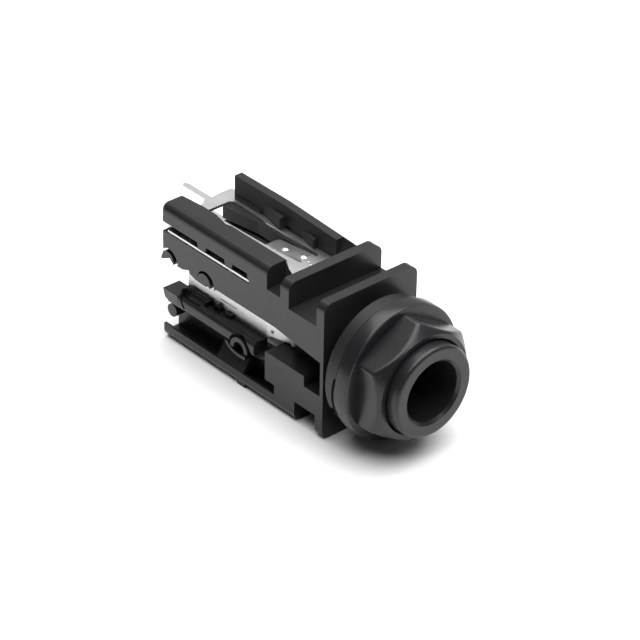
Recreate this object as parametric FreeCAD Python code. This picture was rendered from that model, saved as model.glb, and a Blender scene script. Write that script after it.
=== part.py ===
import FreeCAD, Part
import os
from math import atan2, cos, hypot, pi, sin, tan

# Quarter-inch stereo jack socket for a panel and a circuit board.
# Millimetres, +Z up. The plug goes in along +Y. The origin is on the bore's axis,
# in the plane of the front flange's face, which meets the panel.

# Plug and bore
PLUG_DIA = 6.35
BORE_CLEARANCE = 0.15
MOUTH_CHAMFER = 0.3

# Nose, which carries the nut
NOSE_DIA = 9.8
NOSE_LENGTH = 9.2
NOSE_EDGE = 0.4

# Front flange and second flange
FLANGE_WIDTH = 12.0
FLANGE_HEIGHT = 15.4
FLANGE_CORNER = 1.0
FLANGE_THICK = 1.1
RIB_FRONT = 5.15
RIB_THICK = 1.25

# Body behind the flanges
BOX_TOP = 4.9
BOX_BOTTOM = -5.3
BLOCK_FRONT = 4.15
BLOCK_REAR = 7.2
CORE_REAR = 8.6
BODY_REAR = 24.45
BODY_BOTTOM = -FLANGE_HEIGHT / 2
LEFT_FACE = -FLANGE_WIDTH / 2
LEFT_WALL = 1.0

# Right wall, whose top falls towards the front
RIGHT_INNER = 3.35
RIGHT_WALL = 0.95
RIGHT_WALL_TOP = 7.8
RIGHT_RAMP = 10.5
RIGHT_RAMP_DROP = 0.55
BEVEL_REAR = 8.85
BEVEL_LOW = 5.4
RIGHT_EDGE_LAND = 0.1
LEDGE_SETBACK = 0.2

# Upper left wall: its toothed lower edge as (y, z) points, and two hooked grooves above the teeth
TOOTHED_EDGE = ((16.1, 1.84), (16.55, 1.45), (17.2, 1.47), (17.47, 1.84), (17.65, 1.44), (19.3, 1.47),
                (20.25, 1.74), (20.38, 2.1), (21.3, 1.72), (22.1, 1.68), (22.4, 1.47), (22.75, 1.5),
                (23.4, 2.1), (24.68, 1.48), (24.8, 1.65))
LUG_TOP = 2.45
HOOK_PLACES = (17.75, 23.5)
HOOK_Z = 1.8
HOOK_OUTER = 1.32
HOOK_INNER = 1.0
HOOK_SHIFT = (0.3, -0.08)
HOOK_DEPTH = 0.7

# Rail along the top of the left side, with a wavy inner edge
RAIL_FRONT = 8.4
RAIL_TOP = 8.0
RAIL_ROUND = 0.9
RAIL_REAR_ROUND = 0.6
RAIL_OVERHANG = 0.4
RAIL_UNDER = 5.6
RAIL_RIGHT = -3.55
RAIL_WAVE = ((16.7, -3.55), (17.3, -3.74), (18.1, -3.55), (19.3, -3.3), (21.5, -3.27))

# Long opening in the left side, between the upper and lower walls
GAP_TOP = TOOTHED_EDGE[0][1]
GAP_FRONT_TOP = 1.05
GAP_BOTTOM = -1.64
GAP_FLANGE_CUT = 0.45
GAP_STEP_Y = 2.78
GAP_STEP_Z = -2.8

# Slot in the upper left wall for the edge of the top plate
SLOT_FRONT = 11.1
SLOT_WINDOWS = ((11.15, 13.85), (14.6, 17.9), (18.8, BODY_REAR + 1))
WINDOW_HEIGHT = 1.05
WINDOW_DEPTH = 0.8
WINDOW_SLOPE = 0.25

# Lower left wall: a bar over a deep hollow, the web behind the hollow and the rail below it
BAR_INNER = -4.2
WEB_INNER = -3.4
WEB_THICK = 0.7
BAR_FRONT = 10.35
BAR_INNER_TOP = -1.75
BAR_OUTER_TOP = -1.5
BAR_LOW = -3.15
BAR_ROOT = -4.4
BAR_TOP_ROUND = 0.7
BAR_LOW_ROUND = 0.9
BOTTOM_RAIL_HEIGHT = 1.65
BOTTOM_RAIL_TOP = BODY_BOTTOM + BOTTOM_RAIL_HEIGHT
BOTTOM_RAIL_LIP = 0.3
BOTTOM_RAIL_FALL = 0.9
RAIL_GROOVE = 0.15
RAIL_GROOVES = (11.05, 21.6)
RAIL_STUB = (11.8, 13.0)
STUB_INSET = 0.15
STUB_WIDTH = 0.75
RAMP_FRONT_RISE = 1.25

# Rear end of the bar: a lug that leans in, and a round peg under it between two gaps
END_FRONT = 22.3
END_TOP = -1.9
END_INNER = -3.85
END_LOW = -3.4
END_LEAN = 0.3
END_OVERHANG = 0.1
END_GROOVE = ((22.3, -1.3), (22.0, -1.3), (21.0, -2.9), (21.35, -2.9))
KNOB_PLACE = (24.0, -4.65)
KNOB_RADIUS = 0.72
KNOB_OUTER = -5.3
GAP_RADIUS = 0.45
GAP_SPACING = 1.12

# Dished pad, small eye and nib on top of the bar
PAD = (18.7, 22.4)
PAD_TOP = -1.25
PAD_OUTER = -5.95
PAD_CREST = -5.2
PAD_LOW = -2.3
DISH_RADIUS = 0.62
DISH_X = -5.25
DISH_Z = -1.35
EAR_PLACE = (17.55, -1.62)
EAR_RADIUS = 0.5
EAR_HOLE = 0.18
EAR_THICK = 0.5
NIB = (15.4, 16.3)
NIB_DROP = 0.2

# Hooked eye under the front of the bar, and the sloping boss that closes the hollow there
EYE_PLACE = (12.85, -3.45)
EYE_HALF = (2.3, 1.2)
EYE_RIM = 0.38
EYE_RIM_FACE = -5.7
EYE_FLOOR = -4.9
EYE_SPLIT = -3.6
HOOK_EYE_PLACE = (12.7, -3.5)
HOOK_EYE_OUTER = 1.3
HOOK_EYE_INNER = 0.8
HOOK_EYE_MOAT = 1.75
HOOK_EYE_SHIFT = 0.2
HOOK_EYE_FACE = -5.95
MOAT_FLOOR = -5.2
BOSS = (12.0, 16.1)
BOSS_TOP = -4.0
BOSS_INNER = -4.5

# Ledges and grooves that carry the contacts, and the catches that hold the plates down
LEDGE_RIGHT = 1.6
LEDGE_TAPER = 19.5
LEDGE_HEIGHT = 1.35
LEDGE_LEFT = -4.15
LEDGE_BOTTOM_LEFT = -2.7
LEDGE_RIB = 0.55
GROOVE_DEPTH = 0.35
GROOVE_HEIGHT = 0.4
CATCH_LENGTH = 3.2
CATCH_RISE = 1.3
CATCH_DEPTH = 0.75
CATCH_ROUND = 0.3
CATCH_PLACES = ((16.6, 1.0), (11.7, 0.75))
POCKET_DEPTH = 0.45
POCKET_LENGTH = 0.9
FOOT_WIDTH = 0.15
FOOT_HEIGHT = 0.3
FOOT_FRONT = 20.2

# Sheet metal of the contacts
SHEET = 0.3
FIT = 0.05
PLATE_TOP = 5.22
LAP = 0.2
SHEET_CORNER = 0.35
BEND = 0.45
TONGUE_LEAD = 0.3
TONGUE_CLEARANCE = 0.2
PIN_WIDTH = 0.75
PIN_TIP = 30.0
PIN_POINT = 0.5
BLANK_WIDTH = 6.0

# Tip contact: the plate at the top, with a tongue cut out of it
TIP_PLATE_FRONT = 6.5
TIP_LEFT_EDGE = ((-1.9, 6.5), (-1.7, 9.4), (-1.13, 10.76), (-0.6, 11.7), (-0.95, 12.2), (-2.6, 12.2))
TIP_SLOT_ENTRY = -3.4
TIP_WINDOW_LEFT = -0.25
TIP_WINDOW_LEFT_REAR = -0.55
TIP_WINDOW_RIGHT = 2.56
TIP_WINDOW_WIDE = 2.76
TIP_TONGUE_ROOT = 10.65
TIP_TONGUE_LEFT = 0.42
TIP_TONGUE_RIGHT = 2.1
TIP_TONGUE_END = 1.3
TIP_TONGUE_ROUND = 0.4
TIP_SLIT = 0.3
TIP_BEND_Y = 16.1
TIP_BEND_Z = 4.5
TIP_TOUCH_Y = 17.5
TIP_TOUCH_RADIUS = 2.3
TIP_KICK_Y = 18.7
TIP_KICK = 0.9
TIP_PIN_X = 1.2
TIP_ROOT_LAP = 0.6
TIP_END_CORNER = (0.1, 0.15)
TIP_EDGE_INSET = 0.1
CROSSBAR_FRONT = 24.2
CROSSBAR_FRONT_SLOPE = (0.45, 0.2)
CROSSBAR_REAR = 25.5
CROSSBAR_REAR_RIGHT = 26.1
CROSSBAR_RIGHT = 4.35
CROSSBAR_CORNER = (0.2, 0.3)
SHOULDER_LEFT = 1.2
SHOULDER_RIGHT = 1.1
SHOULDER_HALF = 0.5
SHOULDER_DROP = 0.15
DIMPLE_DIA = 0.85
DIMPLE_RISE = 0.16
DIMPLE_SINK = 0.06
DIMPLE_PLACES = ((1.04, 13.83), (1.14, 11.19))
PIP_DIA = 0.36
PIP_PLACES = ((1.02, 10.35), (0.77, 9.75))

# Ring contact: the plate at the bottom, whose tongue runs forward
RING_PLATE_FRONT = 9.0
RING_WINDOW_LEFT = -1.6
RING_WINDOW_RIGHT = 1.5
RING_WINDOW_FRONT = 9.9
RING_TONGUE_ROOT = 19.5
RING_TONGUE_HALF = 0.95
RING_BEND_Y = 12.9
RING_BEND_Z = 4.4
RING_TOUCH_Y = 11.4
RING_TOUCH_RADIUS = 2.85
RING_KICK_Y = 10.3
RING_KICK = 0.7
RING_PIN_X = 2.9
RING_ROOT_LAP = 0.6
PLATE_REAR = 24.6

# Break contacts, which the tongues rest on while there is no plug
BREAK_LEFT = 3.0
BREAK_FRONT = 9.4
BREAK_HEEL = BODY_REAR + 0.4
BREAK_PIN_X = 3.3
BREAK_PIN_Z = 1.7
BREAK_ARM_LEFT = 0.3
BREAK_ARM_LENGTH = 1.3
BREAK_BEND = 0.2
BREAK_ARM_RISE = 1.75
BREAK_LAP = 0.4
TIP_BREAK_SETBACK = 4.5
RING_BREAK_SETBACK = 0.5
POINT_DIA = 0.7
POINT_STEM = 0.4
POINT_INSET = 0.45
POINT_PROUD = 0.15
POINT_CROWN = 0.6
POINT_GAP = 0.03

# Sleeve contact: a plate on edge in the left side
SLEEVE_INNER = -3.8
SLEEVE_TOUCH_RADIUS = 3.05
SLEEVE_TOUCH_Y = 7.9
SLEEVE_KICK_Y = 7.1
SLEEVE_KICK = 0.25
SLEEVE_BEND_Y = 10.6
SLEEVE_NOSE = 1.5
SLEEVE_NOSE_SLOPE = (0.3, 0.5)
SLEEVE_SHOULDER = 0.5
SLEEVE_TOP_DROP = 0.4
SLEEVE_SHOULDER_Y = 10.2
SLEEVE_HALF = 2.15
SLEEVE_ROOT_Y = 22.8
SLEEVE_RISE_Y = 19.6
SLEEVE_REAR = 24.6
SLEEVE_NECK = (0.8, 0.6)
SLEEVE_CORNER = 0.5
SLEEVE_PIN_Z = 4.05
SLEEVE_TWIST = 1.2
SLIT_FRONT = 15.2
SLIT_LENGTH = 2.4
SLIT_WIDTH = 0.16
SLIT_PLACES = (-0.73, -1.35)
VENT_DIA = 0.4
VENT_Y = 9.9
VENT_Z = -0.9

# Washer and nut on the nose
WASHER_DIA = 13.8
WASHER_THICK = 1.6
WASHER_FRONT = -2.8
WASHER_NOTCH_WIDTH = 1.2
WASHER_NOTCH_DEPTH = 0.45
WASHER_NOTCH_ANGLES = (-120, 120)
WASHER_EDGE = 0.15
NUT_GAP = 0.08
NUT_RING_DIA = 14.55
NUT_RING_THICK = 1.8
NUT_RING_EDGE = 0.2
NUT_RING_BEVEL = 0.3
NUT_CORNERS = 13.5
NUT_LENGTH = 4.97
NUT_FRONT_DIA = 11.2
NUT_MOUTH = 0.12
THREAD_CLEARANCE = 0.1

# How straight an edge runs along an axis to count as one, and the most of a side that a corner takes
STRAIGHT = 0.99
CORNER_SHARE = 0.49

V = FreeCAD.Vector
os.makedirs("parts", exist_ok=True)
parts = {}


def box(x0, x1, y0, y1, z0, z1):
    """A block between two corners."""
    return Part.makeBox(x1 - x0, y1 - y0, z1 - z0, V(x0, y0, z0))


def side_profile(points, x0, x1):
    """A closed outline of (y, z) points, made solid from x0 to x1."""
    wire = Part.makePolygon([V(x0, y, z) for y, z in points + points[:1]])
    return Part.Face(wire).extrude(V(x1 - x0, 0, 0))


def plan_profile(points, z0, z1):
    """A closed outline of (x, y) points, made solid from z0 to z1."""
    wire = Part.makePolygon([V(x, y, z0) for x, y in points + points[:1]])
    return Part.Face(wire).extrude(V(0, 0, z1 - z0))


def turned(points):
    """A closed outline of (radius, y) points, turned about the bore's axis."""
    wire = Part.makePolygon([V(r, y, 0) for r, y in points + points[:1]])
    return Part.Face(wire).revolve(V(0, 0, 0), V(0, 1, 0), 360)


def rod_x(radius, y, z, x0, x1):
    """A round rod across the body."""
    return Part.makeCylinder(radius, x1 - x0, V(x0, y, z), V(1, 0, 0))


def rod_y(radius, x, z, y0, y1):
    """A round rod along the body."""
    return Part.makeCylinder(radius, y1 - y0, V(x, y0, z), V(0, 1, 0))


def rounded_plate(width, height, corner, y0, y1):
    """A flange: a rounded rectangle across the bore's axis."""
    plate = box(-width / 2, width / 2, y0, y1, -height / 2, height / 2)
    edges = [e for e in plate.Edges if abs(e.tangentAt(e.FirstParameter).y) > STRAIGHT]
    return plate.makeFillet(corner, edges)


def rounded_window(x0, x1, y0, y1, z0, z1, corner):
    """A cut-out in flat sheet, with its corners rounded."""
    cut = box(x0, x1, y0, y1, z0, z1)
    edges = [e for e in cut.Edges if abs(e.tangentAt(e.FirstParameter).z) > STRAIGHT]
    return cut.makeFillet(min(corner, CORNER_SHARE * (x1 - x0), CORNER_SHARE * (y1 - y0)), edges)


def bent_strip(points, radius, thick, place, width):
    """Sheet metal bent along points: straight runs, with a round bend at each point.

    The points are the middle of the sheet in the plane of bending; place(p, side)
    puts a point of that plane at either edge of the strip, which is width wide.
    """
    def offset_edges(shift):
        edges = []
        start = None
        for i, p in enumerate(points):
            if i == 0 or i == len(points) - 1:
                a, b = (points[0], points[1]) if i == 0 else (points[-2], points[-1])
                run = hypot(b[0] - a[0], b[1] - a[1])
                nx, ny = -(b[1] - a[1]) / run, (b[0] - a[0]) / run
                here = (p[0] + nx * shift, p[1] + ny * shift)
                if start is not None:
                    edges.append(("line", start, here))
                start = here
                continue
            a, b = points[i - 1], points[i + 1]
            h1 = atan2(p[1] - a[1], p[0] - a[0])
            h2 = atan2(b[1] - p[1], b[0] - p[0])
            turn = (h2 - h1 + pi) % (2 * pi) - pi
            side = 1 if turn > 0 else -1
            reach = radius * tan(abs(turn) / 2)
            t = (p[0] - cos(h1) * reach, p[1] - sin(h1) * reach)
            c = (t[0] - sin(h1) * radius * side, t[1] + cos(h1) * radius * side)
            r = radius - shift * side
            on_arc = lambda h: (c[0] + sin(h) * r * side, c[1] - cos(h) * r * side)
            first, middle, last = on_arc(h1), on_arc(h1 + turn / 2), on_arc(h2)
            edges.append(("line", start, first))
            edges.append(("arc", first, middle, last))
            start = last
        return edges

    def build(edges):
        made = []
        for e in edges:
            q = [place(p) for p in e[1:]]
            if e[0] == "line":
                made.append(Part.makeLine(q[0], q[1]))
            else:
                made.append(Part.Arc(q[0], q[1], q[2]).toShape())
        return made

    near = offset_edges(-thick / 2)
    far = offset_edges(thick / 2)
    ends = [("line", near[0][1], far[0][1]), ("line", near[-1][-1], far[-1][-1])]
    wire = Part.Wire(Part.__sortEdges__(build(near + far + ends)))
    return Part.Face(wire).extrude(width)


def cross_profile(points, y0, y1):
    """A closed outline of (x, z) points, made solid from y0 to y1."""
    wire = Part.makePolygon([V(x, y0, z) for x, z in points + points[:1]])
    return Part.Face(wire).extrude(V(0, y1 - y0, 0))


def rounded_along(solid, places, radius):
    """Rounds the edges that run along the body through the given (x, z) places."""
    edges = []
    for e in solid.Edges:
        if abs(e.tangentAt(e.FirstParameter).y) > STRAIGHT:
            p = e.valueAt(e.FirstParameter)
            if min(hypot(p.x - x, p.z - z) for x, z in places) < FIT / 100:
                edges.append(e)
    return solid.makeFillet(radius, edges)


def oval(place, half, x0, x1):
    """An oval rod across the body, given its centre and half sizes in (y, z)."""
    ring = Part.Ellipse(V(x0, place[0] + half[0], place[1]), V(x0, place[0], place[1] + half[1]),
                        V(x0, place[0], place[1]))
    return Part.Face(Part.Wire(ring.toShape())).extrude(V(x1 - x0, 0, 0))


# Groove in the left face between two circles set apart, so that it narrows to a point at the rear
def hook_groove(y):
    groove = rod_x(HOOK_OUTER, y, HOOK_Z, LEFT_FACE - 1, LEFT_FACE + HOOK_DEPTH)
    return groove.cut(rod_x(HOOK_INNER, y + HOOK_SHIFT[0], HOOK_Z + HOOK_SHIFT[1], LEFT_FACE - 1, 0))


# Upper left wall with its teeth, the lug at its rear end and the hooked grooves
def upper_wall(front, top):
    outline = [(front, GAP_TOP)] + list(TOOTHED_EDGE)
    outline += [(BODY_REAR, LUG_TOP), (BODY_REAR, top), (RAIL_FRONT, top), (RAIL_FRONT, RAIL_UNDER),
                (front, RAIL_UNDER)]
    wall = side_profile(outline, LEFT_FACE, LEFT_FACE + LEFT_WALL)
    for y in HOOK_PLACES:
        wall = wall.cut(hook_groove(y))
    return wall


# Rail on top of the upper left wall, rounded over to the left and at its rear end
def upper_rail(low):
    rear = BODY_REAR + RAIL_OVERHANG
    outline = [(LEFT_FACE, RAIL_FRONT), (RAIL_RIGHT, RAIL_FRONT)]
    outline += [(x, y) for y, x in RAIL_WAVE]
    outline += [(RAIL_RIGHT, rear), (LEFT_FACE, rear)]
    rail = plan_profile(outline, low, RAIL_TOP)
    rail = rounded_along(rail, [(LEFT_FACE, RAIL_TOP)], RAIL_ROUND)
    ends = []
    for e in rail.Edges:
        if e.BoundBox.YMin > rear - FIT and (e.BoundBox.ZMin > RAIL_TOP - RAIL_ROUND - FIT
                                             or e.BoundBox.XMax < LEFT_FACE + FIT):
            ends.append(e)
    return rail.makeFillet(RAIL_REAR_ROUND, ends)


# Lower left wall: web, rail and bar, with the slope that leads from the block to the bar
def lower_wall():
    web_outer = WEB_INNER - WEB_THICK
    wall = box(web_outer, WEB_INNER, BLOCK_REAR, BODY_REAR, BODY_BOTTOM, BAR_LOW)
    floor = BOTTOM_RAIL_TOP - BOTTOM_RAIL_FALL
    rail = cross_profile([(LEFT_FACE, BODY_BOTTOM), (LEFT_FACE, BOTTOM_RAIL_TOP),
                          (LEFT_FACE + BOTTOM_RAIL_LIP, BOTTOM_RAIL_TOP),
                          (LEFT_FACE + BOTTOM_RAIL_LIP + BOTTOM_RAIL_FALL, floor),
                          (WEB_INNER, floor), (WEB_INNER, BODY_BOTTOM)], BLOCK_REAR, BODY_REAR)
    rail = rounded_along(rail, [(LEFT_FACE, BODY_BOTTOM)], FLANGE_CORNER)
    rail = rail.fuse(box(LEFT_FACE + STUB_INSET, LEFT_FACE + STUB_WIDTH, RAIL_STUB[0], RAIL_STUB[1],
                         BODY_BOTTOM, floor))
    for y in RAIL_GROOVES:
        rail = rail.cut(rod_z(LEFT_FACE, y, RAIL_GROOVE))
    wall = wall.fuse(rail)

    # bar: rounded over on top and curved in below, down to the lug at its rear end
    bar = cross_profile([(BAR_INNER, BAR_INNER_TOP), (LEFT_FACE, BAR_OUTER_TOP), (LEFT_FACE, BAR_LOW),
                         (web_outer, BAR_ROOT), (WEB_INNER, BAR_ROOT), (WEB_INNER, BAR_LOW),
                         (BAR_INNER, BAR_LOW)], BAR_FRONT, END_FRONT)
    bar = rounded_along(bar, [(LEFT_FACE, BAR_OUTER_TOP)], BAR_TOP_ROUND)
    bar = rounded_along(bar, [(LEFT_FACE, BAR_LOW)], BAR_LOW_ROUND)
    wall = wall.fuse(bar).fuse(bar_end())
    wall = wall.cut(box(web_outer - 1, WEB_INNER, BLOCK_REAR, BAR_FRONT,
                        GAP_BOTTOM - RAMP_FRONT_RISE, 0))
    near = Part.makePolygon([V(web_outer, BLOCK_REAR, GAP_BOTTOM), V(EYE_FLOOR, BLOCK_REAR, BAR_LOW),
                             V(web_outer, BLOCK_REAR, BAR_LOW), V(web_outer, BLOCK_REAR, GAP_BOTTOM)])
    far = Part.makePolygon([V(web_outer, BAR_FRONT, GAP_BOTTOM - 1), V(HOOK_EYE_FACE, BAR_FRONT, BAR_LOW),
                            V(web_outer, BAR_FRONT, BAR_ROOT), V(web_outer, BAR_FRONT, GAP_BOTTOM - 1)])
    wall = wall.fuse(Part.makeLoft([near, far], True, True))
    return bar_top(hooked_eye(wall, web_outer))


# Rear end of the bar: the lug, and the peg with a round gap above and below it
def bar_end():
    lug = cross_profile([(END_INNER, END_TOP), (LEFT_FACE, END_TOP), (LEFT_FACE + END_LEAN, END_LOW),
                         (WEB_INNER, BAR_ROOT), (WEB_INNER, BAR_LOW), (END_INNER, BAR_LOW)],
                        END_FRONT, BODY_REAR + END_OVERHANG)
    lug = lug.cut(box(BAR_INNER, 0, END_FRONT, SLEEVE_ROOT_Y + SHEET, BAR_LOW, 0))
    for side in (-1, 1):
        lug = lug.cut(rod_x(GAP_RADIUS, BODY_REAR + END_OVERHANG, KNOB_PLACE[1] + side * GAP_SPACING,
                            LEFT_FACE - 1, 0))
    return lug.fuse(rod_x(KNOB_RADIUS, KNOB_PLACE[0], KNOB_PLACE[1], KNOB_OUTER, WEB_INNER - FIT))


# Dished pad, small eye and nib on top of the bar
def bar_top(wall):
    pad = cross_profile([(BAR_INNER, PAD_TOP), (PAD_CREST, PAD_TOP), (PAD_OUTER, PAD_LOW),
                         (BAR_INNER, BAR_LOW)], PAD[0], PAD[1])
    pad = pad.common(rounded_window(LEFT_FACE - EAR_RADIUS, 0, PAD[0], PAD[1], BAR_LOW, 0,
                                    2 * EAR_RADIUS))
    wall = wall.fuse(pad).cut(side_profile(list(END_GROOVE), LEFT_FACE - 1, LEFT_FACE + EAR_THICK))
    dish = rounded_window(DISH_X - DISH_RADIUS, DISH_X + DISH_RADIUS, PAD[0] + EAR_HOLE,
                          PAD[1] - EAR_HOLE, BAR_LOW, 0, DISH_RADIUS)
    wall = wall.cut(dish.common(rod_y(DISH_RADIUS, DISH_X, DISH_Z, PAD[0], PAD[1])))
    wall = wall.fuse(rod_x(EAR_RADIUS, EAR_PLACE[0], EAR_PLACE[1], BAR_INNER - EAR_THICK, BAR_INNER))
    wall = wall.cut(rod_x(EAR_HOLE, EAR_PLACE[0], EAR_PLACE[1], BAR_INNER - EAR_THICK, BAR_INNER))
    return wall.fuse(box(BAR_INNER - EAR_THICK, BAR_INNER, NIB[0], NIB[1], BAR_LOW, PAD_TOP - NIB_DROP))


# Eye under the bar: a hook in a moat above, an oval rim below, both on a sloping boss
def hooked_eye(wall, web_outer):
    upper = box(LEFT_FACE - 1, web_outer, BLOCK_REAR, BODY_REAR, EYE_SPLIT, 0)
    lower = box(LEFT_FACE - 1, web_outer, BOSS[0], BODY_REAR, BODY_BOTTOM, EYE_SPLIT)
    boss = cross_profile([(web_outer, BOSS_TOP), (BOSS_INNER, BOSS_TOP), (LEFT_FACE, BOTTOM_RAIL_TOP),
                          (LEFT_FACE, BOTTOM_RAIL_TOP - FIT), (web_outer, BOTTOM_RAIL_TOP)],
                         BOSS[0], BOSS[1])
    wall = wall.fuse(boss)
    y, z = HOOK_EYE_PLACE
    moat = rod_x(HOOK_EYE_MOAT, y - HOOK_EYE_SHIFT, z, LEFT_FACE - 1, MOAT_FLOOR).common(upper)
    inner = (EYE_HALF[0] - EYE_RIM, EYE_HALF[1] - EYE_RIM)
    wall = wall.cut(moat).cut(oval(EYE_PLACE, inner, LEFT_FACE - 1, EYE_FLOOR).common(lower))
    hook = rod_x(HOOK_EYE_OUTER, y, z, HOOK_EYE_FACE, web_outer)
    hole = rod_x(HOOK_EYE_INNER, y, z, LEFT_FACE - 1, EYE_FLOOR)
    rim = oval(EYE_PLACE, EYE_HALF, EYE_RIM_FACE, web_outer)
    rim = rim.cut(oval(EYE_PLACE, inner, LEFT_FACE - 1, EYE_FLOOR))
    return wall.cut(hole).fuse(hook.cut(hole).common(upper)).fuse(rim.common(lower))


# Catch on the inside of the right wall: a wedge with its top rounded over
def catch(y, length, depth, low, rise):
    top = low + rise
    wedge = plan_profile([(RIGHT_INNER, y + length), (RIGHT_INNER - depth, y), (RIGHT_INNER, y)], low, top)
    slope = [e for e in wedge.Edges if e.BoundBox.ZMin > top - FIT and e.Length > length]
    return wedge.makeFillet(CATCH_ROUND, slope)


# Housing: one moulding with the nose, both flanges, the walls and the rails
def housing():
    bore_r = PLUG_DIA / 2 + BORE_CLEARANCE / 2
    nose_r = NOSE_DIA / 2
    nose = turned([(0, FLANGE_THICK), (nose_r, FLANGE_THICK), (nose_r, -NOSE_LENGTH), (0, -NOSE_LENGTH)])
    tip_edges = [e for e in nose.Edges if len(e.Vertexes) == 1 and e.BoundBox.YMax < FIT - NOSE_LENGTH]
    nose = nose.makeFillet(NOSE_EDGE, tip_edges)

    right_face = RIGHT_INNER + RIGHT_WALL
    body = nose.fuse(rounded_plate(FLANGE_WIDTH, FLANGE_HEIGHT, FLANGE_CORNER, 0, FLANGE_THICK))
    rib_rear = RIB_FRONT + RIB_THICK
    rib = rounded_plate(FLANGE_WIDTH, FLANGE_HEIGHT, FLANGE_CORNER, RIB_FRONT, rib_rear)
    body = body.fuse(rib)
    body = body.fuse(box(LEFT_FACE, -LEFT_FACE, FLANGE_THICK, RIB_FRONT, BOX_BOTTOM, BOX_TOP))
    foot = rounded_plate(FLANGE_WIDTH, FLANGE_HEIGHT, FLANGE_CORNER, BLOCK_FRONT, BLOCK_REAR)
    body = body.fuse(foot.common(box(LEFT_FACE, -LEFT_FACE, BLOCK_FRONT, BLOCK_REAR, BODY_BOTTOM, 0)))
    floor_z = PLATE_TOP - SHEET
    body = body.fuse(box(LEFT_FACE, right_face, RIB_FRONT, CORE_REAR, -floor_z, floor_z))

    # upper left wall and the rail on it, with the notch in front of the rail
    wall_inner = LEFT_FACE + LEFT_WALL
    wall_top = RAIL_UNDER + LEFT_WALL
    body = body.fuse(upper_wall(rib_rear, wall_top))
    body = body.fuse(box(LEFT_FACE, RAIL_RIGHT, rib_rear, RAIL_FRONT, floor_z, RAIL_UNDER))
    body = body.fuse(upper_rail(floor_z))

    # ledges under the two plates
    rear = BODY_REAR - LEDGE_SETBACK
    under = floor_z - LEDGE_HEIGHT
    beside = TIP_TONGUE_RIGHT + TONGUE_CLEARANCE
    ledge = [(beside, CORE_REAR), (RIGHT_INNER, CORE_REAR), (RIGHT_INNER, rear), (LEDGE_RIGHT, rear),
             (beside, LEDGE_TAPER)]
    rib_top = under - GROOVE_HEIGHT
    for low, high in ((under, floor_z), (rib_top - LEDGE_RIB, rib_top)):
        body = body.fuse(plan_profile(ledge, low, high))
        body = body.fuse(plan_profile(ledge, -high, -low))
    body = body.fuse(box(wall_inner, LEDGE_LEFT, CORE_REAR, rear, under, floor_z))
    body = body.fuse(box(WEB_INNER, LEDGE_BOTTOM_LEFT, CORE_REAR, rear, -floor_z, -under))

    # right wall, whole from top to bottom, falling to the front and bevelled there on the inside
    ramp_end = RIGHT_WALL_TOP - RIGHT_RAMP_DROP
    right = side_profile([(rib_rear, ramp_end), (rib_rear + RIGHT_RAMP, RIGHT_WALL_TOP),
                          (BODY_REAR, RIGHT_WALL_TOP), (BODY_REAR, BODY_BOTTOM), (rib_rear, BODY_BOTTOM)],
                         RIGHT_INNER, right_face)
    land = right_face - RIGHT_EDGE_LAND
    bevel = cross_profile([(RIGHT_INNER, RIGHT_WALL_TOP), (land, RIGHT_WALL_TOP), (land, ramp_end),
                           (RIGHT_INNER, BEVEL_LOW)], rib_rear, BEVEL_REAR)
    body = body.fuse(right.cut(bevel))

    # catches and a foot on the inside of the walls, which hold the plates on the ledges
    over = PLATE_TOP + FIT
    for y, size in CATCH_PLACES:
        length = CATCH_LENGTH * size
        depth = CATCH_DEPTH * size
        rise = CATCH_RISE * size
        shape = catch(y, length, depth, over, rise)
        body = body.fuse(shape)
        body = body.fuse(shape.mirror(V(0, 0, 0), V(0, 0, 1)))
        wedge = [(WEB_INNER, y + length), (WEB_INNER + depth, y), (WEB_INNER, y)]
        body = body.fuse(plan_profile(wedge, -over - rise, -over))
    body = body.fuse(box(RIGHT_INNER - FOOT_WIDTH, RIGHT_INNER, FOOT_FRONT, rear, over, over + FOOT_HEIGHT))
    pocket_y = CATCH_PLACES[0][0] - POCKET_LENGTH
    body = body.cut(box(RIGHT_INNER, RIGHT_INNER + POCKET_DEPTH, pocket_y, CATCH_PLACES[0][0],
                        floor_z, over + FOOT_HEIGHT))

    body = body.fuse(lower_wall())

    # bore with a chamfered mouth, and the long opening in the left side
    mouth = bore_r + MOUTH_CHAMFER
    body = body.cut(turned([(0, -NOSE_LENGTH - 1), (mouth + 1, -NOSE_LENGTH - 1),
                            (bore_r, -NOSE_LENGTH + MOUTH_CHAMFER), (bore_r, CORE_REAR + 1),
                            (0, CORE_REAR + 1)]))
    behind = CORE_REAR + 2 * FIT
    gap = side_profile([(GAP_FLANGE_CUT, GAP_FRONT_TOP), (BLOCK_REAR, GAP_TOP), (behind, GAP_TOP),
                        (behind, GAP_BOTTOM), (GAP_STEP_Y, GAP_BOTTOM), (GAP_STEP_Y, GAP_STEP_Z),
                        (GAP_FLANGE_CUT, GAP_STEP_Z)], LEFT_FACE - 1, 0)
    body = body.cut(gap.cut(rod_y(NOSE_DIA / 2, 0, 0, 0, FLANGE_THICK)))

    # slot for the top plate's edge, with windows over it between the parts that hold the sheet down
    body = body.cut(box(LEFT_FACE - 1, RAIL_RIGHT + 1, SLOT_FRONT, BODY_REAR + 1, floor_z, PLATE_TOP + FIT))
    for front, back in SLOT_WINDOWS:
        roof = floor_z + WINDOW_HEIGHT
        body = body.cut(side_profile([(front, floor_z), (front + WINDOW_SLOPE, roof),
                                      (back - WINDOW_SLOPE, roof), (back, floor_z)],
                                     LEFT_FACE - 1, LEFT_FACE + WINDOW_DEPTH))

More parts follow.
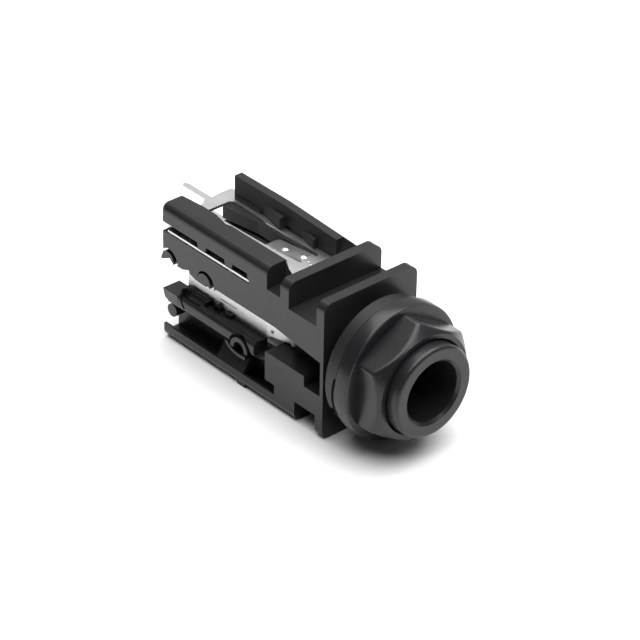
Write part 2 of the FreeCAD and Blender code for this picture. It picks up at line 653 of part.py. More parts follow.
    # grooves under the ledges for the break contacts and the sleeve contact's ear
    for low in (under - GROOVE_HEIGHT, -under):
        body = body.cut(box(RIGHT_INNER - 1, RIGHT_INNER + GROOVE_DEPTH, CORE_REAR, BODY_REAR + 1,
                            low, low + GROOVE_HEIGHT))
    body = body.cut(box(wall_inner - GROOVE_DEPTH, wall_inner + 1, SLEEVE_RISE_Y - FIT, BODY_REAR + 1,
                        under - GROOVE_HEIGHT, under))
    return body.removeSplitter()


# Pins: a flat blade with a chamfered end, in the plane of the sheet
def flat_pin(x, y0, z0, z1):
    half = PIN_WIDTH / 2
    return plan_profile([(x - half, y0), (x + half, y0), (x + half, PIN_TIP - PIN_POINT),
                         (x + half / 2, PIN_TIP), (x - half / 2, PIN_TIP),
                         (x - half, PIN_TIP - PIN_POINT)], z0, z1)


def twisted_blade(x, z, y0, y1):
    """A blade on edge that turns flat between y0 and y1, about its own middle."""
    steps = 3
    sections = []
    for step in range(steps + 1):
        turn = pi / 2 * step / steps
        corners = []
        for a, b in ((-1, -1), (1, -1), (1, 1), (-1, 1)):
            across, along = a * SHEET / 2, b * PIN_WIDTH / 2
            corners.append(V(x + across * cos(turn) - along * sin(turn), y0 + (y1 - y0) * step / steps,
                             z + across * sin(turn) + along * cos(turn)))
        sections.append(Part.makePolygon(corners + corners[:1]))
    return Part.makeLoft(sections, True, True)


# Tip contact: top plate, tongue and pin, one stamping
def tip_contact():
    low = PLATE_TOP - SHEET
    right = RIGHT_INNER - FIT
    slot_left = LEFT_FACE + TIP_EDGE_INSET
    slot_front = SLOT_FRONT + FIT
    wall_left = LEFT_FACE + LEFT_WALL + FIT
    behind = BODY_REAR + FIT
    outline = [(x, y) for x, y in TIP_LEFT_EDGE]
    outline += [(TIP_SLOT_ENTRY, slot_front), (slot_left, slot_front),
                (slot_left, CROSSBAR_FRONT - CROSSBAR_FRONT_SLOPE[0]),
                (wall_left, CROSSBAR_FRONT - CROSSBAR_FRONT_SLOPE[1]), (wall_left, CROSSBAR_REAR),
                (TIP_PIN_X - SHOULDER_LEFT, CROSSBAR_REAR),
                (TIP_PIN_X - SHOULDER_HALF, CROSSBAR_REAR_RIGHT),
                (TIP_PIN_X + SHOULDER_HALF, CROSSBAR_REAR_RIGHT - SHOULDER_DROP),
                (TIP_PIN_X + SHOULDER_RIGHT, CROSSBAR_REAR_RIGHT),
                (CROSSBAR_RIGHT - CROSSBAR_CORNER[0], CROSSBAR_REAR_RIGHT),
                (CROSSBAR_RIGHT, CROSSBAR_REAR_RIGHT - CROSSBAR_CORNER[1]),
                (CROSSBAR_RIGHT, behind), (right, behind), (right, TIP_PLATE_FRONT)]
    plate = plan_profile(outline, low, PLATE_TOP)
    window = plan_profile([(TIP_TONGUE_LEFT - TIP_SLIT, TIP_TONGUE_ROOT),
                           (TIP_WINDOW_RIGHT, TIP_TONGUE_ROOT),
                           (TIP_WINDOW_RIGHT, LEDGE_TAPER - 1), (TIP_WINDOW_WIDE, LEDGE_TAPER),
                           (TIP_WINDOW_WIDE, CROSSBAR_FRONT - SHEET_CORNER),
                           (TIP_WINDOW_WIDE - SHEET_CORNER, CROSSBAR_FRONT),
                           (TIP_WINDOW_LEFT_REAR, CROSSBAR_FRONT), (TIP_WINDOW_LEFT, TIP_BEND_Y - 2)],
                          low - 1, PLATE_TOP + 1)
    corner_x, corner_y = TIP_END_CORNER
    tongue = plan_profile([(TIP_TONGUE_LEFT, 0), (TIP_TONGUE_RIGHT, 0),
                           (TIP_TONGUE_RIGHT, TIP_BEND_Y - TIP_TONGUE_ROUND),
                           (TIP_TONGUE_RIGHT - corner_x, TIP_BEND_Y - corner_y),
                           (TIP_TONGUE_RIGHT - TIP_TONGUE_ROUND, TIP_BEND_Y),
                           (TIP_TONGUE_END, TIP_BEND_Y + corner_x), (TIP_TONGUE_END, TIP_KICK_Y + 1),
                           (TIP_TONGUE_LEFT, TIP_KICK_Y + 1)], 0, PLATE_TOP)
    middle = PLATE_TOP - SHEET / 2
    touch = TIP_TOUCH_RADIUS + SHEET / 2
    strip = bent_strip([(TIP_TONGUE_ROOT - TIP_ROOT_LAP, middle), (TIP_TONGUE_ROOT + TONGUE_LEAD, middle),
                        (TIP_BEND_Y, TIP_BEND_Z), (TIP_TOUCH_Y, touch),
                        (TIP_KICK_Y, touch + TIP_KICK)], BEND, SHEET,
                       lambda p: V(TIP_TONGUE_RIGHT - BLANK_WIDTH / 2, p[0], p[1]), V(BLANK_WIDTH, 0, 0))
    left_end = rod_z(TIP_TONGUE_LEFT - TIP_SLIT / 2, TIP_TONGUE_ROOT, TIP_SLIT / 2)
    right_half = (TIP_WINDOW_RIGHT - TIP_TONGUE_RIGHT) / 2
    right_end = rod_z(TIP_TONGUE_RIGHT + right_half, TIP_TONGUE_ROOT, right_half)
    plate = plate.cut(window).cut(left_end).cut(right_end).fuse(strip.common(tongue))
    for x, y in DIMPLE_PLACES:
        plate = plate.fuse(dimple(x, y, DIMPLE_DIA, DIMPLE_RISE))
    for x, y in PIP_PLACES:
        plate = plate.fuse(Part.makeCone(PIP_DIA / 2, PIP_DIA / 3, DIMPLE_RISE / 2, V(x, y, PLATE_TOP)))
    catch_y = CATCH_PLACES[0][0]
    tab = box(right - FIT, right + POCKET_DEPTH - FIT, catch_y - POCKET_LENGTH + FIT, catch_y - FIT,
              low, PLATE_TOP)
    plate = plate.fuse(tab)
    return plate.fuse(flat_pin(TIP_PIN_X, CROSSBAR_REAR - LAP, low, PLATE_TOP)).removeSplitter()


def rod_z(x, y, radius):
    """An upright round cutter that rounds the end of a slit."""
    return Part.makeCylinder(radius, 2 * PLATE_TOP, V(x, y, -PLATE_TOP), V(0, 0, 1))


def dimple(x, y, dia, rise):
    """A small round swelling on the top plate or its tongue."""
    top = tip_tongue_middle(y) + SHEET / 2
    half = dia / 2
    radius = (half * half + rise * rise) / (2 * rise)
    ball = Part.makeSphere(radius, V(x, y, top + rise - radius))
    return ball.common(Part.makeCylinder(half, rise + DIMPLE_SINK, V(x, y, top - DIMPLE_SINK), V(0, 0, 1)))


# Ring contact: bottom plate, tongue and pin, one stamping
def ring_contact():
    low = -PLATE_TOP
    high = low + SHEET
    left = WEB_INNER + FIT
    right = RIGHT_INNER - FIT
    plate = box(left, right, RING_PLATE_FRONT, PLATE_REAR, low, high)
    plate = plate.cut(rounded_window(RING_WINDOW_LEFT, RING_WINDOW_RIGHT, RING_WINDOW_FRONT,
                                     RING_TONGUE_ROOT, low - 1, high + 1, SHEET_CORNER))
    middle = low + SHEET / 2
    touch = -RING_TOUCH_RADIUS - SHEET / 2
    strip = bent_strip([(RING_TONGUE_ROOT + RING_ROOT_LAP, middle),
                        (RING_TONGUE_ROOT - TONGUE_LEAD, middle), (RING_BEND_Y, -RING_BEND_Z),
                        (RING_TOUCH_Y, touch), (RING_KICK_Y, touch - RING_KICK)], BEND, SHEET,
                       lambda p: V(-RING_TONGUE_HALF, p[0], p[1]), V(2 * RING_TONGUE_HALF, 0, 0))
    return plate.fuse(strip).fuse(flat_pin(RING_PIN_X, PLATE_REAR - LAP, low, high)).removeSplitter()


def tip_tongue_middle(y):
    """Height of the middle of the tip contact's tongue, which slopes down behind its root."""
    start = TIP_TONGUE_ROOT + TONGUE_LEAD
    slope = (PLATE_TOP - SHEET / 2 - TIP_BEND_Z) / (TIP_BEND_Y - start)
    return PLATE_TOP - SHEET / 2 - slope * max(0, y - start)


def ring_tongue_middle(y):
    """Depth of the middle of the ring contact's tongue, which rises ahead of its root."""
    start = RING_TONGUE_ROOT - TONGUE_LEAD
    slope = (PLATE_TOP - SHEET / 2 - RING_BEND_Z) / (start - RING_BEND_Y)
    return PLATE_TOP - SHEET / 2 - slope * max(0, start - y)


# Break contacts: a strip in the groove, an arm under the tongue and a pin, one stamping each
def break_contact(arm_y, tongue_z):
    high = PLATE_TOP - SHEET - LEDGE_HEIGHT - FIT
    middle = high - SHEET / 2
    bend_start = BREAK_HEEL - BEND
    strip = box(BREAK_LEFT, RIGHT_INNER + GROOVE_DEPTH - FIT, BREAK_FRONT, bend_start - LAP,
                high - SHEET, high)
    seat = tongue_z - SHEET / 2 - POINT_GAP - POINT_PROUD - SHEET / 2
    arm = bent_strip([(BREAK_LEFT + BREAK_LAP, middle), (TIP_TONGUE_RIGHT, middle),
                      (BREAK_ARM_RISE, seat), (BREAK_ARM_LEFT, seat)], BREAK_BEND, SHEET,
                     lambda p: V(p[0], arm_y, p[1]), V(0, BREAK_ARM_LENGTH, 0))
    half = PIN_WIDTH / 2
    heel = bent_strip([(bend_start - BREAK_LAP, middle), (BREAK_HEEL, middle),
                       (BREAK_HEEL, BREAK_PIN_Z), (PIN_TIP, BREAK_PIN_Z)], BEND, SHEET,
                      lambda p: V(BREAK_PIN_X - half, p[0], p[1]), V(PIN_WIDTH, 0, 0))
    hole = rod_z(BREAK_ARM_LEFT + POINT_INSET, arm_y + BREAK_ARM_LENGTH / 2, POINT_STEM / 2)
    return strip.fuse(arm).fuse(heel).cut(hole).removeSplitter()


# Contact points: a rivet through each break contact's arm, with its dome against the tongue
def break_point(arm_y, tongue_z):
    dome_top = tongue_z - SHEET / 2 - POINT_GAP
    arm_top = dome_top - POINT_PROUD
    arm_low = arm_top - SHEET
    stem = POINT_STEM / 2
    head = POINT_DIA / 2
    x = BREAK_ARM_LEFT + POINT_INSET
    y = arm_y + BREAK_ARM_LENGTH / 2
    outline = [(0, arm_low), (stem, arm_low), (stem, arm_top), (head, arm_top),
               (head * POINT_CROWN, dome_top), (0, dome_top)]
    wire = Part.makePolygon([V(x + r, y, z) for r, z in outline + outline[:1]])
    return Part.Face(wire).revolve(V(x, y, 0), V(0, 0, 1), 360)


# Sleeve contact: a plate on edge with an ear, a long leaf and a pin, one stamping
def sleeve_contact():
    outer = SLEEVE_INNER - SHEET
    top = SLEEVE_PIN_Z + PIN_WIDTH / 2
    neck_y, neck_z = SLEEVE_NECK
    flat = side_profile([(SLEEVE_RISE_Y, SLEEVE_HALF - 2 * FIT), (SLEEVE_RISE_Y, top), (SLEEVE_REAR, top),
                         (SLEEVE_REAR, top - PIN_WIDTH), (SLEEVE_REAR - neck_y, SLEEVE_HALF - neck_z),
                         (SLEEVE_ROOT_Y, SLEEVE_HALF - 2)], outer, SLEEVE_INNER)
    centre = SLEEVE_INNER - SHEET / 2
    twist_end = SLEEVE_REAR + SLEEVE_TWIST
    flat = flat.fuse(twisted_blade(centre, SLEEVE_PIN_Z, SLEEVE_REAR, twist_end))
    flat = flat.fuse(flat_pin(centre, twist_end, SLEEVE_PIN_Z - SHEET / 2, SLEEVE_PIN_Z + SHEET / 2))
    widened = SLEEVE_SHOULDER_Y + SLEEVE_SHOULDER
    outline = side_profile([(SLEEVE_KICK_Y - 1, -SLEEVE_NOSE), (SLEEVE_SHOULDER_Y, -SLEEVE_NOSE),
                            (widened, -SLEEVE_HALF), (SLEEVE_ROOT_Y - SLEEVE_CORNER, -SLEEVE_HALF),
                            (SLEEVE_ROOT_Y, -SLEEVE_HALF + SLEEVE_CORNER), (SLEEVE_ROOT_Y, SLEEVE_HALF),
                            (widened, SLEEVE_HALF - SLEEVE_TOP_DROP),
                            (SLEEVE_SHOULDER_Y, SLEEVE_NOSE - SLEEVE_NOSE_SLOPE[0]),
                            (SLEEVE_KICK_Y - 1, SLEEVE_NOSE - SLEEVE_NOSE_SLOPE[1])], LEFT_FACE, 0)
    touch = -SLEEVE_TOUCH_RADIUS - SHEET / 2
    leaf = bent_strip([(SLEEVE_ROOT_Y, centre), (SLEEVE_BEND_Y, centre), (SLEEVE_TOUCH_Y, touch),
                       (SLEEVE_KICK_Y, touch - SLEEVE_KICK)], BEND, SHEET,
                      lambda p: V(p[1], p[0], -BLANK_WIDTH / 2), V(0, 0, BLANK_WIDTH))
    leaf = leaf.common(outline)
    half = SLIT_WIDTH / 2
    slit_rear = SLIT_FRONT + SLIT_LENGTH
    for z in SLIT_PLACES:
        leaf = leaf.cut(box(outer - 1, SLEEVE_INNER + 1, SLIT_FRONT, slit_rear, z - half, z + half))
        for y in (SLIT_FRONT, slit_rear):
            leaf = leaf.cut(rod_x(half, y, z, outer - 1, SLEEVE_INNER + 1))
    leaf = leaf.cut(rod_x(VENT_DIA / 2, VENT_Y, VENT_Z, outer - 1, SLEEVE_INNER + 1))
    ear_top = PLATE_TOP - SHEET - LEDGE_HEIGHT - FIT
    ear = box(LEFT_FACE + LEFT_WALL - GROOVE_DEPTH + FIT, SLEEVE_INNER, SLEEVE_RISE_Y, BODY_REAR,
              ear_top - SHEET, ear_top)
    return flat.fuse(leaf).fuse(ear).removeSplitter()


# Washer behind the nut, with a notch in its edge
def washer():
    inner = NOSE_DIA / 2 + THREAD_CLEARANCE
    outer = WASHER_DIA / 2
    rear = WASHER_FRONT + WASHER_THICK
    shoulder = outer - WASHER_EDGE
    ring = turned([(inner, rear), (shoulder, rear), (outer, rear - WASHER_EDGE),
                   (outer, WASHER_FRONT + WASHER_EDGE), (shoulder, WASHER_FRONT), (inner, WASHER_FRONT)])
    half = WASHER_NOTCH_WIDTH / 2
    notch = box(-half, half, WASHER_FRONT - 1, rear + 1, outer - WASHER_NOTCH_DEPTH, outer + 1)
    for angle in WASHER_NOTCH_ANGLES:
        cutter = notch.copy()
        cutter.rotate(V(0, 0, 0), V(0, 1, 0), angle)
        ring = ring.cut(cutter)
    return ring


# Nut: a hexagon with a coned front on a round flange
def hex_nut():
    rear = WASHER_FRONT - NUT_GAP
    front = rear - NUT_LENGTH
    inner = NOSE_DIA / 2 + THREAD_CLEARANCE
    corner = NUT_CORNERS / 2
    cone = corner - NUT_FRONT_DIA / 2
    hexagon = [V(corner * sin(k * pi / 3), rear, corner * cos(k * pi / 3)) for k in range(6)]
    prism = Part.Face(Part.makePolygon(hexagon + hexagon[:1])).extrude(V(0, -NUT_LENGTH, 0))
    prism = prism.common(turned([(0, rear), (corner + 1, rear), (corner + 1, front + cone + 1),
                                 (NUT_FRONT_DIA / 2, front), (0, front)]))
    ring_r = NUT_RING_DIA / 2
    ring_front = rear - NUT_RING_THICK
    flange = turned([(0, rear), (ring_r - NUT_RING_EDGE, rear), (ring_r, rear - NUT_RING_EDGE),
                     (ring_r, ring_front + NUT_RING_BEVEL), (ring_r - NUT_RING_BEVEL, ring_front),
                     (0, ring_front)])
    hole = turned([(0, rear + 1), (inner, rear + 1), (inner, front + NUT_MOUTH),
                   (inner + NUT_MOUTH, front), (inner + NUT_MOUTH, front - 1), (0, front - 1)])
    return prism.fuse(flange).cut(hole).removeSplitter()


parts["housing"] = housing()
parts["washer"] = washer()
parts["hex_nut"] = hex_nut()
parts["tip_contact"] = tip_contact()
parts["ring_contact"] = ring_contact()
parts["sleeve_contact"] = sleeve_contact()
tip_break_y = TIP_BEND_Y - TIP_BREAK_SETBACK
ring_break_y = RING_BEND_Y + RING_BREAK_SETBACK
tip_seat = tip_tongue_middle(tip_break_y + BREAK_ARM_LENGTH / 2)
ring_seat = ring_tongue_middle(ring_break_y + BREAK_ARM_LENGTH / 2)
parts["tip_break_contact"] = break_contact(tip_break_y, tip_seat)
parts["tip_contact_point"] = break_point(tip_break_y, tip_seat)
parts["ring_break_contact"] = break_contact(ring_break_y, ring_seat).mirror(V(0, 0, 0), V(0, 0, 1))
parts["ring_contact_point"] = break_point(ring_break_y, ring_seat).mirror(V(0, 0, 0), V(0, 0, 1))

for name, shape in parts.items():
    solids = shape.Solids
    print(name, "solids", len(solids), "valid", shape.isValid(), "volume", round(shape.Volume, 2))
    shape.exportStep("parts/%s.step" % name)
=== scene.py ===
import math

import bpy
import numpy as np
from mathutils import Matrix, Vector


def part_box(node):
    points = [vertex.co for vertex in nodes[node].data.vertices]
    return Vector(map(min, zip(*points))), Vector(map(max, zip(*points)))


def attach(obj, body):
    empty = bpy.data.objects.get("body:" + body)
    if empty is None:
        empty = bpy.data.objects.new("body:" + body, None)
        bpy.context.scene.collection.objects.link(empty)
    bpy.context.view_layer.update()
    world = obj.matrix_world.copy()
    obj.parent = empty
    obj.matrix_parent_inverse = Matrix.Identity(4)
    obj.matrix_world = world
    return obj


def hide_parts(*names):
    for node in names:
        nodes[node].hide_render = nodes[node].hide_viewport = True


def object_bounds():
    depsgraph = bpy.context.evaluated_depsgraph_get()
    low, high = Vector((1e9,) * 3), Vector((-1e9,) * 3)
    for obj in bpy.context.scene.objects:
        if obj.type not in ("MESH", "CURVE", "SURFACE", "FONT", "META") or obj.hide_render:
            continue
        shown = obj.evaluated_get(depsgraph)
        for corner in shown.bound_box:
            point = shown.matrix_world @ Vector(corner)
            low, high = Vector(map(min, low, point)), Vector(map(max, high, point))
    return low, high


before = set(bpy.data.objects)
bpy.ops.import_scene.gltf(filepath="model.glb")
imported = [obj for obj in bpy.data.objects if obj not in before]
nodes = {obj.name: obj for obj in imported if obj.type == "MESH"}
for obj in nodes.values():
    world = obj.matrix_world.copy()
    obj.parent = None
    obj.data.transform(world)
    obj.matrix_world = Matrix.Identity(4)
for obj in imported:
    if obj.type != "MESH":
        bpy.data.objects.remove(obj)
cad_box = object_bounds()


# Housing: one black moulding in glass-filled plastic. The nose, the flanges, the walls and
# the rails come out of the mould together, with a fine matt skin and softened edges.
class Wire:
    """A socket of a material's node tree, on which sums and products can be written."""

    def __init__(self, tree, socket):
        self.tree = tree
        self.socket = socket

    def _joined(self, kind, first, second):
        return node(self.tree, "ShaderNodeMath", {"operation": kind}, {0: first, 1: second})

    def __add__(self, other):
        return self._joined("ADD", self, other)

    def __radd__(self, other):
        return self._joined("ADD", other, self)

    def __sub__(self, other):
        return self._joined("SUBTRACT", self, other)

    def __rsub__(self, other):
        return self._joined("SUBTRACT", other, self)

    def __mul__(self, other):
        return self._joined("MULTIPLY", self, other)

    def __rmul__(self, other):
        return self._joined("MULTIPLY", other, self)


def node(tree, kind, settings, values, out=0):
    """Adds a node of that kind, sets it up, fills its sockets and returns one of its outputs."""
    made = tree.nodes.new(kind)
    for name, value in settings.items():
        setattr(made, name, value)
    for name, value in values.items():
        if isinstance(value, Wire):
            tree.links.new(value.socket, made.inputs[name])
        else:
            made.inputs[name].default_value = value
    return Wire(tree, made.outputs[out])


def new_material(name, **constants):
    """A new material with its shader; constants go on the shader's own sockets."""
    material = bpy.data.materials.new(name)
    material.use_nodes = True
    tree = material.node_tree
    shader = tree.nodes["Principled BSDF"]
    for key, value in constants.items():
        shader.inputs[key.replace("_", " ")].default_value = value
    place = node(tree, "ShaderNodeTexCoord", {}, {}, "Object")
    return material, tree, shader, place


def noise(tree, place, scale, detail):
    """A value that varies from place to place round one half."""
    values = {"Vector": place, "Scale": scale, "Detail": detail}
    return node(tree, "ShaderNodeTexNoise", {}, values, "Fac")


def set_tone(tree, shader, share, first, second):
    """The base colour, mixed by share from the first colour to the second."""
    colours = {0: share, 6: (*first, 1), 7: (*second, 1)}
    tone = node(tree, "ShaderNodeMix", {"data_type": "RGBA"}, colours, 2)
    tree.links.new(tone.socket, shader.inputs["Base Color"])


def set_bump(tree, shader, height, strength, depth):
    """Bumps of that height map on the shader's surface."""
    values = {"Height": height, "Strength": strength, "Distance": depth}
    bump = node(tree, "ShaderNodeBump", {}, values, "Normal")
    tree.links.new(bump.socket, shader.inputs["Normal"])


def ramp(tree, value, low, high, at_low=0.0, at_high=1.0):
    """A straight rise from at_low, up to the value low, to at_high, from the value high on."""
    ends = {"From Min": low, "From Max": high, "To Min": at_low, "To Max": at_high}
    return node(tree, "ShaderNodeMapRange", {}, {"Value": value, **ends})


def paint(obj, material):
    obj.data.materials.clear()
    obj.data.materials.append(material)


def moulded_plastic(name, dark, light, rough, grain, cavity=None):
    """Black plastic: a faint cloud in its grey, roughness that varies and a fine skin.

    cavity gives the X of the two walls round the contacts and the Y at which they start; the
    faces between them came off unpolished cores of the mould and are more matt."""
    rough_swing = 0.12
    core_roughness, core_fade = 0.35, 0.0004
    material, tree, shader, place = new_material(name, IOR=1.42)
    cloud = noise(tree, place, scale=260.0, detail=3.0)
    skin = noise(tree, place, scale=grain, detail=2.0)
    set_tone(tree, shader, cloud, dark, light)
    matt = rough + rough_swing * (cloud - 0.5)
    if cavity:
        left, right, front = cavity
        across = node(tree, "ShaderNodeSeparateXYZ", {}, {"Vector": place}, "X")
        along = node(tree, "ShaderNodeSeparateXYZ", {}, {"Vector": place}, "Y")
        past_left = ramp(tree, across, left, left + core_fade)
        short_of_right = ramp(tree, across, right - core_fade, right, at_low=1.0, at_high=0.0)
        behind_front = ramp(tree, along, front, front + core_fade)
        matt = matt + core_roughness * (past_left * short_of_right) * behind_front
    tree.links.new(matt.socket, shader.inputs["Roughness"])
    set_bump(tree, shader, skin, strength=0.25, depth=0.00003)
    return material


body_plastic = moulded_plastic("body_plastic", dark=(0.011, 0.011, 0.012), light=(0.017, 0.017, 0.018),
                               rough=0.30, grain=9000.0, cavity=(-0.0034, 0.0050, 0.0055))
paint(nodes["housing"], body_plastic)

# Plastic of the washer and the nut: nearly the same black, with a slightly coarser skin. The
# nut is glossier than the housing, and the washer more matt.
nut_black = {"dark": (0.010, 0.010, 0.011), "light": (0.015, 0.015, 0.016), "grain": 6000.0}
nut_plastic = moulded_plastic("nut_plastic", rough=0.26, **nut_black)
washer_plastic = moulded_plastic("washer_plastic", rough=0.46, **nut_black)


def linked(name, points, faces):
    """A new object in the scene with those points and faces, unturned at the origin."""
    mesh = bpy.data.meshes.new(name)
    mesh.from_pydata(points.tolist(), [], faces)
    piece = bpy.data.objects.new(name, mesh)
    bpy.context.scene.collection.objects.link(piece)
    return piece


def soften(piece, crease=35.0):
    """Smooth shading, apart from the edges that are sharper than crease degrees."""
    piece.data.shade_smooth()
    piece.data.set_sharp_from_angle(angle=math.radians(crease))


def closed_surface(name, points):
    """A piece from a grid of points, in which rows and columns both close on themselves.

    points has the shape (rows, columns, 3), and each face joins four neighbours."""
    rows, columns = points.shape[:2]
    index = np.arange(rows * columns).reshape(rows, columns)
    beside = np.roll(index, -1, axis=1)
    below = np.roll(index, -1, axis=0)
    across = np.roll(below, -1, axis=1)
    quads = np.stack([index, beside, across, below], axis=-1)
    piece = linked(name, points.reshape(-1, 3), quads.reshape(-1, 4).tolist())
    soften(piece)
    return piece


# Washer: a flat ring with two notches in its edge, and a fine slit that climbs from the left
# notch towards the nut, where the ring was parted.
def split_washer():
    """The distance from the axis as a function of the angle and of a station along the outline.

    The rim's radius is the ring's own, less the notch's depth inside a notch, and less the
    slit's depth near the slit, whose middle moves along the axis in step with the angle."""
    low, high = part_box("washer")
    outer, rear, front = high[0], high[1], low[1]
    inner = 0.0050
    edge = 0.00015
    notch_half, notch_depth = 0.0006, 0.00045
    notch_angles = (-120.0, 120.0)
    slit_low, slit_high = -120.0, -80.0
    slit_start, slit_end = -0.00195, -0.0026
    slit_half, slit_slope, slit_depth = 0.00010, 0.00005, 0.0005
    slit_fade = 10
    around, stations = 720, 45

    angle = np.linspace(-math.pi, math.pi, around, endpoint=False)
    degrees = np.degrees(angle)
    notched = np.zeros(around)
    for centre in notch_angles:
        inside = np.abs(np.radians(degrees - centre)) * outer < notch_half
        notched = np.where(inside, notch_depth, notched)
    climb = (degrees - slit_low) / (slit_high - slit_low)
    middle = slit_start + (slit_end - slit_start) * climb
    length = np.clip(slit_fade * np.minimum(climb, 1 - climb), 0, 1)

    rim_places = np.linspace(rear - edge, front + edge, stations)
    along = np.concatenate([[rear, rear], rim_places, [front, front]])
    plain = np.concatenate([[inner, outer - edge], np.full(stations, outer), [outer - edge, inner]])
    radius = np.minimum(plain[:, None], outer - notched)
    near = np.clip((slit_half + slit_slope - np.abs(along[:, None] - middle)) / slit_slope, 0, 1)
    rim = (plain == outer)[:, None]
    radius = np.where(rim, radius - slit_depth * near * length * (notched == 0), radius)
    places = np.broadcast_to(along[:, None], radius.shape)
    return closed_surface("split_washer",
                          np.stack([radius * np.sin(angle), places, radius * np.cos(angle)], axis=-1))


washer = split_washer()
paint(washer, washer_plastic)
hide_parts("washer")
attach(washer, "washer")


# Nut: a hexagon with a coned front, moulded in one with a round flange. Its corners and the
# curved lines where the flats run into the cone are softened, and catch the light.
def moulded_nut():
    """The distance from the axis as a function of the angle and of a station along the outline.

    The hexagon's distance is the sum, over its three pairs of flats, of the cosine of the
    angle to the flat divided by the flat's distance, each raised to a high power, and the
    whole raised to minus one over that power. The cone widens as much as it goes back. The
    side takes the smaller of the two at each height, with the step between them softened."""
    low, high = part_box("hex_nut")
    front, rear = low[1], high[1]
    ring_radius = (high[0] - low[0]) / 2
    corner_radius = 0.00675
    front_radius = 0.0056
    bore_radius = 0.0050
    ring_front = rear - 0.0018
    rear_edge, front_edge, mouth = 0.0002, 0.0003, 0.00012
    flat_angles = [30.0, 90.0, 150.0]
    sharpness = 90.0
    softness = 0.00014
    around, heights, steps = 288, 44, 6
    bunching = 0.8

    angle = np.linspace(0, 2 * math.pi, around, endpoint=False)
    flat = corner_radius * math.cos(math.pi / 6)
    flats = np.radians(flat_angles)[:, None]
    hexagon = (np.abs(np.cos(angle - flats) / flat) ** sharpness).sum(axis=0) ** (-1 / sharpness)
    y = ring_front + (front - ring_front) * np.linspace(0, 1, heights) ** bunching
    cone = (front_radius + (y - front))[:, None]
    gap = cone - hexagon
    side = (cone + hexagon - np.sqrt(gap ** 2 + softness ** 2)) / 2

    def ring(radius, place):
        return np.full(around, radius), np.full(around, place)

    outline = [ring(bore_radius, rear), ring(ring_radius - rear_edge, rear),
               ring(ring_radius, rear - rear_edge), ring(ring_radius, ring_front + front_edge),
               ring(ring_radius - front_edge / 4, ring_front + front_edge / 4),
               ring(ring_radius - front_edge, ring_front)]
    outline += [(row, np.full(around, place)) for row, place in zip(side, y)]
    lip = side[-1]
    for step in range(1, steps):
        outline.append((lip + (bore_radius + mouth - lip) * step / steps, np.full(around, front)))
    outline += [ring(bore_radius + mouth, front), ring(bore_radius, front + mouth)]
    radius = np.array([row for row, _ in outline])
    along = np.array([row for _, row in outline])
    return closed_surface("moulded_nut",
                          np.stack([radius * np.sin(angle), along, radius * np.cos(angle)], axis=-1))


nut = moulded_nut()
paint(nut, nut_plastic)
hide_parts("hex_nut")
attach(nut, "nut")


# Thread of the nose: a low helical ridge, moulded with the nose, on which the nut climbs one
# pitch a turn. It fades out at both ends and stops behind the smooth tip of the nose.
def nose_thread():
    """A four-cornered ridge carried along a helix: radius and place along the axis are the
    corner's own, plus the pitch times the turns made; its height fades in over half a turn."""
    root, crest = 0.00488, 0.00497
    pitch = 0.001
    first, last = -0.0007, -0.0077
    foot, top = 0.00034, 0.00010
    fade_turns = 0.5
    per_turn = 64

    turns = (first - last) / pitch
    count = int(turns * per_turn)
    made = np.linspace(0, turns, count)
    fade = np.clip(np.minimum(made, turns - made) / fade_turns, 0, 1)
    height = root + (crest - root) * fade
    turned = 2 * math.pi * made
    foot_radius = np.full(count, root)
    corners = [(foot_radius, -foot), (height, -top), (height, top), (foot_radius, foot)]
    along = first - pitch * made
    rows = [np.stack([reach * np.sin(turned), along + shift, reach * np.cos(turned)], axis=-1)
            for reach, shift in corners]
    faces = []
    for row in range(len(rows)):
        near = row * count + np.arange(count - 1)
        far = (row + 1) % len(rows) * count + np.arange(count - 1)
        faces += np.stack([near, near + 1, far + 1, far], axis=-1).tolist()
    faces.append([row * count for row in range(len(rows))])
    faces.append([row * count + count - 1 for row in reversed(range(len(rows)))])
    piece = linked("nose_thread", np.concatenate(rows), faces)
    soften(piece)
    return piece


thread = nose_thread()
paint(thread, body_plastic)
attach(thread, "body")


# Contacts: copper-alloy sheet, stamped, bent and plated bright, pushed into the housing's
# grooves from the rear. The plating is even, with the faint lines of rolling along it.
def plated_sheet(name, dark, light, rough):
    """Bright plating over rolled sheet: fine lines along the body, faint cloud, soft gloss."""
    fine, drawn_out = 9000.0, 300.0
    line_swing, cloud_swing = 0.1, 0.08
    material, tree, shader, place = new_material(name, Metallic=1.0)
    lined = node(tree, "ShaderNodeMapping", {}, {"Vector": place, "Scale": (fine, drawn_out, fine)})
    lines = noise(tree, lined, scale=1.0, detail=2.0)
    cloud = noise(tree, place, scale=500.0, detail=3.0)
    set_tone(tree, shader, cloud, dark, light)
    matt = rough + line_swing * (lines - 0.5) + cloud_swing * (cloud - 0.5)
    tree.links.new(matt.socket, shader.inputs["Roughness"])
    set_bump(tree, shader, lines, strength=0.15, depth=0.00001)
    return material


contact_plate = plated_sheet("contact_plate", dark=(0.62, 0.62, 0.63), light=(0.72, 0.72, 0.72),
                             rough=0.34)
for name in ("tip_contact", "ring_contact", "tip_break_contact", "ring_break_contact"):
    paint(nodes[name], contact_plate)

# Sleeve contact: the leaf on the open side. Its plating is painted whiter than the other contacts' to
# stand in for the bright light it reflects, and it is more satin.
sleeve_painted_light_plate = plated_sheet("sleeve_painted_light_plate", dark=(0.90, 0.90, 0.90), light=(0.98, 0.98, 0.98),
                            rough=0.62)
paint(nodes["sleeve_contact"], sleeve_painted_light_plate)

# Contact points: small silver rivets headed into the break contacts' arms.
point_silver = plated_sheet("point_silver", dark=(0.82, 0.80, 0.76), light=(0.93, 0.92, 0.89),
                            rough=0.24)
for name in ("tip_contact_point", "ring_contact_point"):
    paint(nodes[name], point_silver)

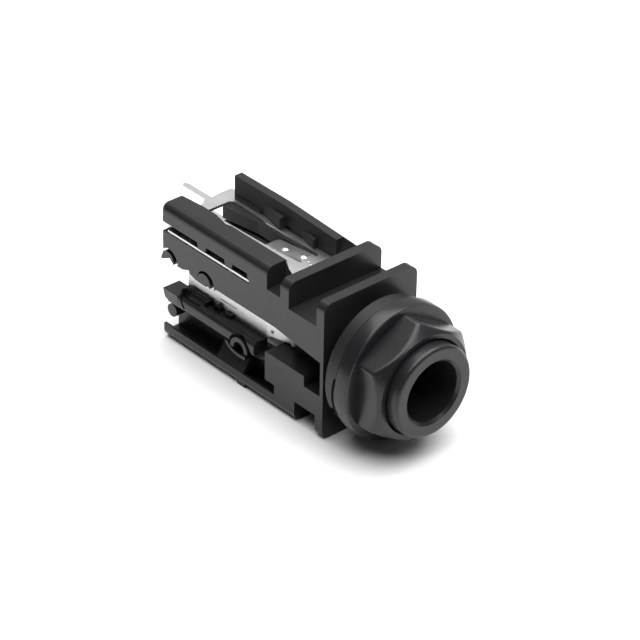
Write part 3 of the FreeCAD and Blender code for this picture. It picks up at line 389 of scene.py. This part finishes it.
# Table: a flat pale sheet that the socket lies on and that runs up to the horizon in white.
spread = 2.0
pale = 0.94
white_from, all_white_at = 0.07, 0.25
corners = np.array([(-1, -1, 0), (1, -1, 0), (1, 1, 0), (-1, 1, 0)], float) * spread
corners[:, 2] = cad_box[0][2]
floor = linked("table", corners, [(0, 1, 2, 3)])
material, tree, shader, place = new_material("table_white", Roughness=0.8, Specular_IOR_Level=0.2)
shader.inputs["Base Color"].default_value = (pale, pale, pale, 1)
distance = node(tree, "ShaderNodeVectorMath", {"operation": "LENGTH"}, {0: place}, "Value")
far = ramp(tree, distance, white_from, all_white_at)
camera_ray = node(tree, "ShaderNodeLightPath", {}, {}, "Is Camera Ray")
paper = Wire(tree, shader.outputs["BSDF"])
distance_white = node(tree, "ShaderNodeEmission", {}, {}, "Emission")
sheet_look = node(tree, "ShaderNodeMixShader", {},
                  {0: far * camera_ray, 1: paper, 2: distance_white}, "Shader")
tree.links.new(sheet_look.socket, tree.nodes["Material Output"].inputs["Surface"])
paint(floor, material)

# World: a soft white studio wall at the right rear, which the top faces show, and a dim room
# at the front and the left. The camera itself sees white all round.
world = bpy.data.worlds.new("studio")
bpy.context.scene.world = world
world.use_nodes = True
room = world.node_tree
wall_way = (0.5, 0.6, 0.62)
wall_from, wall_full = 0.25, 0.95
wall_light, room_light, seen_light = 0.70, 0.035, 1.0
looking = node(room, "ShaderNodeTexCoord", {}, {}, "Generated")
towards_wall = node(room, "ShaderNodeVectorMath", {"operation": "DOT_PRODUCT"},
                    {0: looking, 1: wall_way}, "Value")
glow = ramp(room, towards_wall, wall_from, wall_full, room_light, wall_light)
seen = node(room, "ShaderNodeLightPath", {}, {}, "Is Camera Ray")
shade = node(room, "ShaderNodeMix", {"data_type": "FLOAT"}, {0: seen, 2: glow, 3: seen_light}, 0)
room.links.new(shade.socket, room.nodes["Background"].inputs["Color"])

# Lamp: one large soft box high above the part, which whitens the table and leaves a soft
# shadow straight under the part.
lamp_place, lamp_target = Vector((0.05, -0.04, 0.45)), Vector((0.0, 0.008, 0.0))
light = bpy.data.lights.new("top_box", "AREA")
light.energy = 5.0
light.size = 0.62
lamp = bpy.data.objects.new("top_box", light)
bpy.context.scene.collection.objects.link(lamp)
lamp_turn = (lamp_place - lamp_target).to_track_quat("Z", "Y").to_matrix().to_4x4()
lamp.matrix_world = Matrix.Translation(lamp_place) @ lamp_turn

# Camera: a long lens, turned left of the nose and looking down on the top. Its axis passes a
# little beside the part's origin.
turn, lift, roll = math.radians(-41.74), math.radians(32.41), math.radians(1.07)
reach = 0.300
aside, above = -0.00481, 0.00316
lens_pixels, frame_pixels, sensor = 3093.0, 640, 36.0
back = Vector((math.sin(turn) * math.cos(lift), -math.cos(turn) * math.cos(lift), math.sin(lift)))
level = Vector((math.cos(turn), math.sin(turn), 0))
upward = back.cross(level)
right = level * math.cos(roll) + upward * math.sin(roll)
up = upward * math.cos(roll) - level * math.sin(roll)
camera_data = bpy.data.cameras.new("camera")
camera_data.sensor_width = sensor
camera_data.lens = lens_pixels / frame_pixels * sensor
camera_data.clip_start = 0.01
camera_data.clip_end = 20.0
camera = bpy.data.objects.new("camera", camera_data)
bpy.context.scene.collection.objects.link(camera)
spot = back * reach + right * aside + up * above
camera.matrix_world = Matrix.Translation(spot) @ Matrix((right, up, back)).transposed().to_4x4()
bpy.context.scene.camera = camera
bpy.context.scene.view_settings.view_transform = "Standard"
